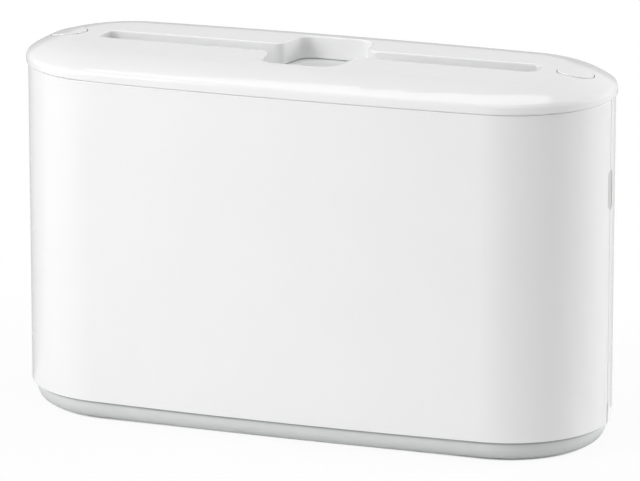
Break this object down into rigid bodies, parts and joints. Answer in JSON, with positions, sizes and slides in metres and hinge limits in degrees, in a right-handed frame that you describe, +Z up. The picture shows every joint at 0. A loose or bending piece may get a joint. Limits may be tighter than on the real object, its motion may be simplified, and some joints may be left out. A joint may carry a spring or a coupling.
{
  "type": "paper towel dispenser",
  "caption": "Free-standing oval dispenser for folded paper towels: white case on a grey base, slotted lift-off lid with release buttons, and a sprung lifting platform.",
  "frame": {"origin": "on the worktop, under the middle of the case", "axes": "+X along the case to its right-hand end, +Y to its rear, +Z up"},
  "size_m": [0.323, 0.1168, 0.2001],
  "materials": {
    "white_plastic": "moulded, satin gloss",
    "base_grey": "moulded, fine texture",
    "inner_grey": "moulded",
    "window_grey": "translucent, polished",
    "rubber": "moulded",
    "steel": "drawn bright",
    "spring_steel": "drawn wire",
    "bronze": "sintered",
    "latch_plastic": "moulded"
  },
  "bodies": {
    "case": {"base_tray": "base_grey", "rubber_feet": "rubber", "base_screws": "steel", "front_cover": "white_plastic", "rear_cover": "white_plastic", "level_window_left": "window_grey", "level_window_right": "window_grey", "end_guide_left": "base_grey", "end_guide_right": "base_grey", "guide_rod_left": "steel", "guide_rod_right": "steel", "lift_spring_left": "spring_steel", "lift_spring_right": "spring_steel"},
    "platform": {"lift_platform": "inner_grey", "platform_bushing_left": "bronze", "platform_bushing_right": "bronze"},
    "lid": {"lid": "white_plastic", "latch_housing_left": "latch_plastic", "latch_housing_right": "latch_plastic", "housing_screws": "steel", "latch_spring_left": "spring_steel", "latch_spring_right": "spring_steel"},
    "button_left": {"release_button_left": "white_plastic"},
    "button_right": {"release_button_right": "white_plastic"},
    "latch_left": {"latch_slider_left": "latch_plastic"},
    "latch_right": {"latch_slider_right": "latch_plastic"}
  },
  "joints": [
    {"name": "lid_lift", "type": "slide", "parent": "case", "child": "lid", "axis": [0, 0, 1], "range_m": [0, 0.06]},
    {"name": "platform_press", "type": "slide", "parent": "case", "child": "platform", "axis": [0, 0, -1], "range_m": [0, 0.127], "stiffness_N_per_m": 60, "springref_m": -0.05, "deforming": ["lift_spring_left", "lift_spring_right"]},
    {"name": "button_left_press", "type": "slide", "parent": "lid", "child": "button_left", "axis": [0, 0, -1], "range_m": [0, 0.003], "stiffness_N_per_m": 400, "springref_m": -0.004},
    {"name": "latch_left_slide", "type": "slide", "parent": "lid", "child": "latch_left", "axis": [1, 0, 0], "range_m": [0, 0.003], "deforming": ["latch_spring_left"]},
    {"name": "button_right_press", "type": "slide", "parent": "lid", "child": "button_right", "axis": [0, 0, -1], "range_m": [0, 0.003], "stiffness_N_per_m": 400, "springref_m": -0.004},
    {"name": "latch_right_slide", "type": "slide", "parent": "lid", "child": "latch_right", "axis": [-1, 0, 0], "range_m": [0, 0.003], "deforming": ["latch_spring_right"]}
  ],
  "couplings": [
    {"joint": "latch_left_slide", "follows": "button_left_press", "ratio": 1},
    {"joint": "latch_right_slide", "follows": "button_right_press", "ratio": 1}
  ]
}
